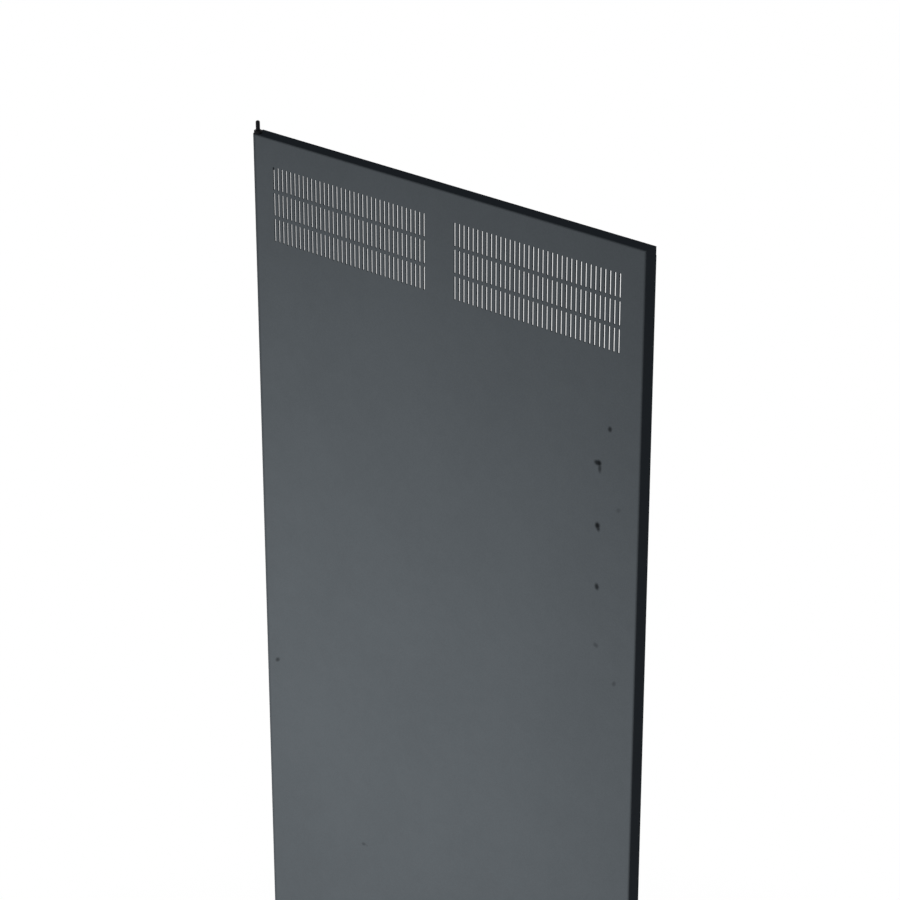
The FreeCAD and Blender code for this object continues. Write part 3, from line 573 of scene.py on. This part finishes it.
coilTree, coilKeys = growTree("coiledWire", {
    "Turns": ("Float", 8.0),
    "Closed turns": ("Float", 1.0),
    "Steps in a turn": ("Int", 24),
    "Sides": ("Int", 8),
    "Wire radius": ("Float", 0.001),
    "Coil radius": ("Float", 0.01),
    "Low end": ("Float", 0.0),
    "High end": ("Float", 0.1),
    "Material": ("Material", None),
}, buildCoil)
rowTree, rowKeys = growTree("rowsOfCopies", {
    "Count": ("Int", 2),
    "Step": ("Vector", (0, 0, 0.1)),
    "Rows": ("Int", 1),
    "Row step": ("Vector", (0, 0, 0)),
    "Material": ("Material", None),
}, buildRows)
print("geometry trees ready")


def rowsOf(name, seed, finish, count, step, rows=1, rowStep=(0, 0, 0)):
    # the steps are in mm
    return grown(name, seed, rowTree, rowKeys, {
        "Count": count, "Step": Vector(step) * mm,
        "Rows": rows, "Row step": Vector(rowStep) * mm,
        "Material": finishes[finish],
    })


# spring of the top pin
springLook = {"turns": 10.0, "closed": 1.0, "wire": 0.35, "coil": 2.25, "steps": 28, "sides": 10}


def makeSpring():
    low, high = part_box("top_pin_spring")
    mesh = grown("topPinSpring", bpy.data.meshes.new("springSeed"), coilTree, coilKeys, {
        "Turns": springLook["turns"],
        "Closed turns": springLook["closed"],
        "Steps in a turn": springLook["steps"],
        "Sides": springLook["sides"],
        "Wire radius": springLook["wire"] * mm,
        "Coil radius": springLook["coil"] * mm,
        "Low end": low[2],
        "High end": high[2],
        "Material": finishes["springSteel"],
    })
    piece = addPiece("topPinSpring", mesh, "springSteel", "door", ["top_pin_spring"])
    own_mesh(piece)


makeSpring()
print("spring coiled")


# lock
lockLook = {
    "bezel": 12.0, "bezelHeight": 2.5, "bezelRound": 0.9, "bezelSteps": 5,
    "dishReach": 7.3, "dishDepth": 1.2, "bore": 6.08,
    "root": 9.05, "crest": 9.4, "flat": 7.95, "pitch": 1.0,
    "rootRun": (0.4, 0.6),         # where the root starts and ends, in pitches
    "threadStart": 2.0, "threadEnd": 0.4, "chamfer": 0.3, "segments": 72,
    "lug": (2.0, 1.35, 1.3), "lugRise": 7.3, "lugOverhang": 0.85,
}


def lockCentre():
    x, y, z = footCentre("lock_plug")
    return (x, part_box("door_panel")[0][1] / mm, z)


def makeLockBody():
    look = lockLook
    length = (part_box("lock_body")[1][1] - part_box("door_panel")[0][1]) / mm - look["lugOverhang"]
    front, rim, rounding = -look["bezelHeight"], look["bezel"], look["bezelRound"]
    bore, crest, pitch, chamfer = (look[key] for key in ("bore", "crest", "pitch", "chamfer"))

    def flatted(along, reach):
        # keeps the two flats of the barrel
        return lambda bearing: (along, min(reach, look["flat"] / max(abs(math.sin(bearing)), 1e-6)))

    profile = [(length, bore), (front + look["dishDepth"], bore), (front, look["dishReach"])]
    for step in range(look["bezelSteps"] + 1):
        turn = math.pi / 2 * step / look["bezelSteps"]
        profile.append((front + rounding * (1 - math.cos(turn)), rim - rounding * (1 - math.sin(turn))))
    along = look["threadStart"]
    profile += [(0, rim), flatted(0, crest), flatted(along, crest)]
    while along + pitch < length - look["threadEnd"]:
        profile += [flatted(along + part * pitch, look["root"]) for part in look["rootRun"]]
        profile += [flatted(along + pitch, crest)]
        along += pitch
    profile += [flatted(length - chamfer, crest), flatted(length, crest - chamfer)]
    mesh = turnedMesh("lockBarrel", profile, "y", lockCentre(), look["segments"])
    addLug(mesh)
    addPiece("lockBarrel", mesh, "lockChrome", "door", ["lock_body"])


def addLug(mesh):
    # the small stop at the back of the barrel
    size = lockLook["lug"]
    x, y, z = lockCentre()
    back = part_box("lock_body")[1][1] / mm
    work = bmesh.new()
    work.from_mesh(mesh)
    addBlock(work, size, (x, back - size[1] / 2, z + lockLook["lugRise"]))
    work.to_mesh(mesh)
    work.free()


nutLook = {
    "lock_nut": {"name": "lockNut", "flats": 22.0, "bore": 9.45, "height": 3.5, "segments": 72},
    "earth_nut": {"name": "earthNut", "flats": 10.0, "bore": 3.05, "height": 5.0, "segments": 48},
}
nutEdge = {"land": 0.965, "slope": 0.5, "ease": 0.5}  # share of the flats, rise per mm, mm at the bore


def makeNuts():
    for node, look in nutLook.items():
        half, high, bore, ease = look["flats"] / 2, look["height"], look["bore"], nutEdge["ease"]
        land = half * nutEdge["land"]

        def side(bearing):
            corner = math.pi / 6  # from the middle of a flat
            turn = (bearing + corner) % (corner * 2) - corner
            return half / math.cos(corner - abs(turn))

        def bevelled(along, way):
            slope = way * nutEdge["slope"]
            return lambda bearing: (along + (side(bearing) - land) * slope, side(bearing))

        loop = [(ease, bore), (0, bore + ease), (0, land), bevelled(0, 1)]
        loop += [bevelled(high, -1), (high, land), (high, bore + ease), (high - ease, bore)]
        mesh = turnedMesh(look["name"], loop, "y", footCentre(node), look["segments"])
        addPiece(look["name"], mesh, "zincPlate", "door", [node])


screwLook = {
    "head": 4.0, "height": 2.4, "brim": 0.9, "brimEdge": 0.2,
    "dome": (0.45, 0.55), "domeSteps": 6,  # share of the head that stays flat on top, and the rest
    "shank": 1.95, "length": 9.0, "point": 0.4,
    "cross": 4.2, "slit": 0.9, "depth": 1.3,
}


def makeCamScrew():
    look = screwLook
    head, tall, brim, edge = (look[key] for key in ("head", "height", "brim", "brimEdge"))
    end, shank, point = -look["length"], look["shank"], look["point"]
    flat, rounded = look["dome"]
    x, y, z = footCentre("cam_screw")
    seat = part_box("cam_screw")[1][1] / mm - tall
    profile = [(end, 0), (end, shank - point), (end + point, shank), (0, shank)]
    profile += [(0, head - edge), (edge, head), (brim, head)]
    for step in range(1, look["domeSteps"] + 1):
        turn = math.pi / 2 * step / look["domeSteps"]
        profile.append((brim + (tall - brim) * math.sin(turn), head * (flat + rounded * math.cos(turn))))
    profile += [(tall, 0)]
    screw = newObject("screwBlank", turnedMesh("camScrew", profile, "y", (x, seat, z)))
    work = bmesh.new()
    for wide, high in ((look["cross"], look["slit"]), (look["slit"], look["cross"])):
        addBlock(work, (wide, look["depth"] * 2, high), (x, seat + tall, z))
    cutterMesh = bpy.data.meshes.new("crossCutter")
    work.to_mesh(cutterMesh)
    work.free()
    cutter = newObject("crossCutter", cutterMesh)
    cut = screw.modifiers.new("cross", "BOOLEAN")
    cut.operation, cut.object, cut.solver, cut.use_self = "DIFFERENCE", cutter, "EXACT", True
    mesh = plainMesh(screw)
    bpy.data.objects.remove(cutter)
    addPiece("camScrew", mesh, "zincPlate", "lock", ["cam_screw"])


waferLook = {"count": 5, "pitch": 1.9, "first": 1.2, "size": (1.75, 0.6, 2.0), "rise": 2.4}


def makeWafers():
    # sprung wafers that show inside the keyway
    look = waferLook
    x, y, z = footCentre("lock_plug", look["first"])
    work = bmesh.new()
    for way in (-1, 1):
        addBlock(work, look["size"], (x, y, z + way * look["rise"]))
    seed = bpy.data.meshes.new("waferSeed")
    work.to_mesh(seed)
    work.free()
    mesh = rowsOf("keyWafers", seed, "zincPlate", look["count"], (0, look["pitch"], 0))
    addPiece("keyWafers", mesh, "zincPlate", "lock")


makeLockBody()
makeNuts()
makeCamScrew()
makeWafers()
print("lock fitted")


# folded pieces with eased edges
easedPieces = {
    "lock_cam": ("lockCam", 0.25),  # mm
    "top_pin_pull": ("pinPull", 0.2),
    "top_hinge_bracket": ("topHingeBracket", 0.2),
    "bottom_hinge_bracket": ("bottomHingeBracket", 0.2),
}
easing = {"merged": 1e-6, "flat": 1, "edge": 50, "segments": 2}  # metres, degrees, degrees


def softened(node, width):
    # a copy of the CAD mesh, its triangles joined and its edges eased
    work = bmesh.new()
    work.from_mesh(nodes[node].data)
    bmesh.ops.remove_doubles(work, verts=work.verts, dist=easing["merged"])
    flat = math.radians(easing["flat"])
    bmesh.ops.dissolve_limit(work, angle_limit=flat, verts=work.verts, edges=work.edges)
    mesh = bpy.data.meshes.new(node)
    work.to_mesh(mesh)
    work.free()
    holder = newObject(node + "Blank", mesh)
    bevel = holder.modifiers.new("ease", "BEVEL")
    bevel.width, bevel.segments, bevel.limit_method = width * mm, easing["segments"], "ANGLE"
    bevel.angle_limit = math.radians(easing["edge"])
    return plainMesh(holder)


bodies = frame["record"]["behaviour"]["bodies"]
for node, (name, width) in easedPieces.items():
    slot = nodeSlots[node]
    body = next(label for label, members in bodies.items() if node in members)
    addPiece(name, softened(node, width), slotFinish[slot], body, [node])
print("folded edges eased")


# earth stud, bumpers and spot welds
studLook = {
    "core": 2.62, "length": 15.0, "point": 0.8, "segments": 32,
    "collar": 3.75, "collarHeight": 1.0, "collarEdge": 0.2,
    "crest": 3.0, "pitch": 1.0, "steps": 24, "sides": 4,
    "threadStart": 0.1, "threadEnd": 0.6, "threadSpare": 1.2,  # mm without thread, in all
}


def makeEarthStud():
    look = studLook
    core, collar, length = look["core"], look["collar"], look["length"]
    high, edge, point = look["collarHeight"], look["collarEdge"], look["point"]
    centre = footCentre("earth_stud")
    profile = [(0, 0), (0, collar), (high - edge, collar), (high, collar - edge), (high, core)]
    profile += [(length - point, core), (length, core - point), (length, 0)]
    stud = turnedMesh("earthStud", profile, "y", centre, look["segments"])
    thread = grown("earthStudThread", bpy.data.meshes.new("threadSeed"), coilTree, coilKeys, {
        "Turns": (length - high - look["threadSpare"]) / look["pitch"],
        "Closed turns": 0.0,
        "Steps in a turn": look["steps"],
        "Sides": look["sides"],
        "Wire radius": (look["crest"] - core) * mm,
        "Coil radius": core * mm,
        "Low end": (high + look["threadStart"]) * mm,
        "High end": (length - look["threadEnd"]) * mm,
        "Material": finishes["zincPlate"],
    })
    # the thread is coiled upright at the origin and then laid along the stud
    laid = Matrix.Rotation(math.radians(-90), 4, "X")
    thread.transform(Matrix.Translation(Vector(centre) * mm) @ laid)
    work = bmesh.new()
    work.from_mesh(stud)
    work.from_mesh(thread)
    work.to_mesh(stud)
    work.free()
    addPiece("earthStud", stud, "zincPlate", "door", ["earth_stud"])


bumperLook = {
    "count": 4, "radius": 4.5, "height": 2.5, "round": 1.4,
    "foot": 0.5, "taper": 0.35, "segments": 40,
}


def makeBumpers():
    look = bumperLook
    rim, high = look["radius"], look["height"]
    low, top = (corner[2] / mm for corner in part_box("door_bumpers"))
    step = (top - low - 2 * rim) / (look["count"] - 1)
    x, y, z = footCentre("door_bumpers")
    profile = [(0, 0), (0, rim), (look["foot"], rim)]
    profile += roundedEnd(high, rim - look["taper"], look["round"])[::-1] + [(high, 0)]
    seed = turnedMesh("bumperSeed", profile, "y", (x, y, low + rim), look["segments"])
    mesh = rowsOf("lipBumpers", seed, "blackRubber", look["count"], (0, 0, step))
    addPiece("lipBumpers", mesh, "blackRubber", "door", ["door_bumpers"])


weldLook = {
    "rim": 2.9, "rimEdge": 0.25, "dip": 2.1, "dipEdge": 0.2,
    "high": 0.12, "low": 0.04, "segments": 24,
}
stiffenerWelds = {"gauge": 1.2, "count": 22, "side": 14.0, "margin": 40.0}
bracketWelds = {"gauge": 1.5, "first": 10, "step": 14, "rowStep": 6.4}


def makeWeldSeed(name, centre):
    # a shallow mark with a raised ring
    look = weldLook
    rim, dip, edge, high, low = (look[key] for key in ("rim", "dip", "dipEdge", "high", "low"))
    profile = [(0, 0), (0, rim), (high, rim - look["rimEdge"]), (high, dip + edge)]
    profile += [(low, dip - edge), (low, 0)]
    return turnedMesh(name, profile, "y", centre, look["segments"])


def makeSpotWelds():
    # two rows on the brims of the stiffener, and two by two on the base of each bracket
    look = stiffenerWelds
    x, y, z = footCentre("centre_stiffener", look["gauge"])
    low, top = (corner[2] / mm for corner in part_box("centre_stiffener"))
    step = (top - low - 2 * look["margin"]) / (look["count"] - 1)
    seed = makeWeldSeed("weldSeed", (x - look["side"], y, low + look["margin"]))
    across = (look["side"] * 2, 0, 0)
    mesh = rowsOf("stiffenerWelds", seed, "innerCoat", look["count"], (0, 0, step), 2, across)
    addPiece("stiffenerWelds", mesh, "innerCoat", "door")
    look = bracketWelds
    for end in ("top", "bottom"):
        name, node = end + "BracketWelds", end + "_hinge_bracket"
        x, y, z = footCentre(node, look["gauge"])
        seed = makeWeldSeed(name + "Seed", (look["first"], y, z - look["step"] / 2))
        across = (look["rowStep"], 0, 0)
        mesh = rowsOf(name, seed, "innerCoat", 2, (0, 0, look["step"]), 2, across)
        addPiece(name, mesh, "innerCoat", "door")


makeEarthStud()
makeBumpers()
makeSpotWelds()
print("stud, bumpers and welds placed")


# floor, world and lamps
floorLook = {
    "height": -10.6, "radius": 9000, "corners": 96,                # mm
    "centre": (0.27, 0, 0), "near": 0.9, "far": 1.9, "glow": 0.5,  # metres to where it turns white
    "colour": (0.8, 0.8, 0.8),
}


def seenDirectly(net):
    # 1 for what the camera sees, also in metal or through glass, and 0 for what lights the object
    path = net.node("ShaderNodeLightPath")
    return path.most(path.output("Is Glossy Ray")).most(path.output("Is Transmission Ray"))


def makeFloor():
    look = floorLook
    mesh = bpy.data.meshes.new("floor")
    reach, height, corners = look["radius"] * mm, look["height"] * mm, look["corners"]
    turns = [2 * math.pi * step / corners for step in range(corners)]
    rim = [(reach * math.cos(turn), reach * math.sin(turn), height) for turn in turns]
    mesh.from_pydata(rim, [], [list(range(corners))])
    floor = newObject("floor", mesh)
    material = bpy.data.materials.new("floorPaint")
    material.use_nodes = True
    net = Net(material.node_tree)
    place = net.node("ShaderNodeTexCoord", None, None, output="Object")
    flat = net.node("ShaderNodeVectorMath", {"operation": "MULTIPLY"}, {0: place, 1: (1, 1, 0)})
    ends = {0: flat, 1: look["centre"]}
    away = net.node("ShaderNodeVectorMath", {"operation": "DISTANCE"}, ends, output="Value")
    fade = net.ramp(away, look["near"], look["far"], look["glow"], 1.0) * seenDirectly(net)
    paint = net.node("ShaderNodeBsdfDiffuse", None, {"Color": (*look["colour"], 1)})
    glow = net.node("ShaderNodeEmission", None, {"Color": (1, 1, 1, 1), "Strength": 1.0})
    mixed = net.node("ShaderNodeMixShader", None, {0: fade, 1: paint, 2: glow})
    net.node("ShaderNodeOutputMaterial", None, {"Surface": mixed})
    mesh.materials.append(material)


worldLook = {"ambient": (0.108, 0.117, 0.132), "background": (1, 1, 1)}


def lightWorld():
    world = bpy.data.worlds.new("room")
    bpy.context.scene.world = world
    world.use_nodes = True
    net = Net(world.node_tree)
    colour = net.mixColour(seenDirectly(net), worldLook["ambient"], worldLook["background"])
    sky = net.node("ShaderNodeBackground", None, {"Color": colour, "Strength": 1.0})
    net.node("ShaderNodeOutputWorld", None, {"Surface": sky})


lamps = {
    "frontLamp": {"place": (114, -1233, 1209), "aim": (114, 0, 1209), "size": 400, "watts": 16.3},
    "rearLamp": {"place": (-1250, 1500, 1250), "aim": (270, 0, 1000), "size": 900, "watts": 40.0},
}


def makeLamps():
    for name, look in lamps.items():
        data = bpy.data.lights.new(name, "AREA")
        data.size, data.energy = look["size"] * mm, look["watts"]
        lamp = newObject(name, data)
        place, aim = Vector(look["place"]) * mm, Vector(look["aim"]) * mm
        lamp.location = place
        lamp.rotation_euler = (aim - place).to_track_quat("-Z", "Y").to_euler()
        lamp.visible_camera = False
        lamp.visible_glossy = False


makeFloor()
lightWorld()
makeLamps()
bpy.context.scene.view_settings.view_transform = "Standard"
print("studio lit")
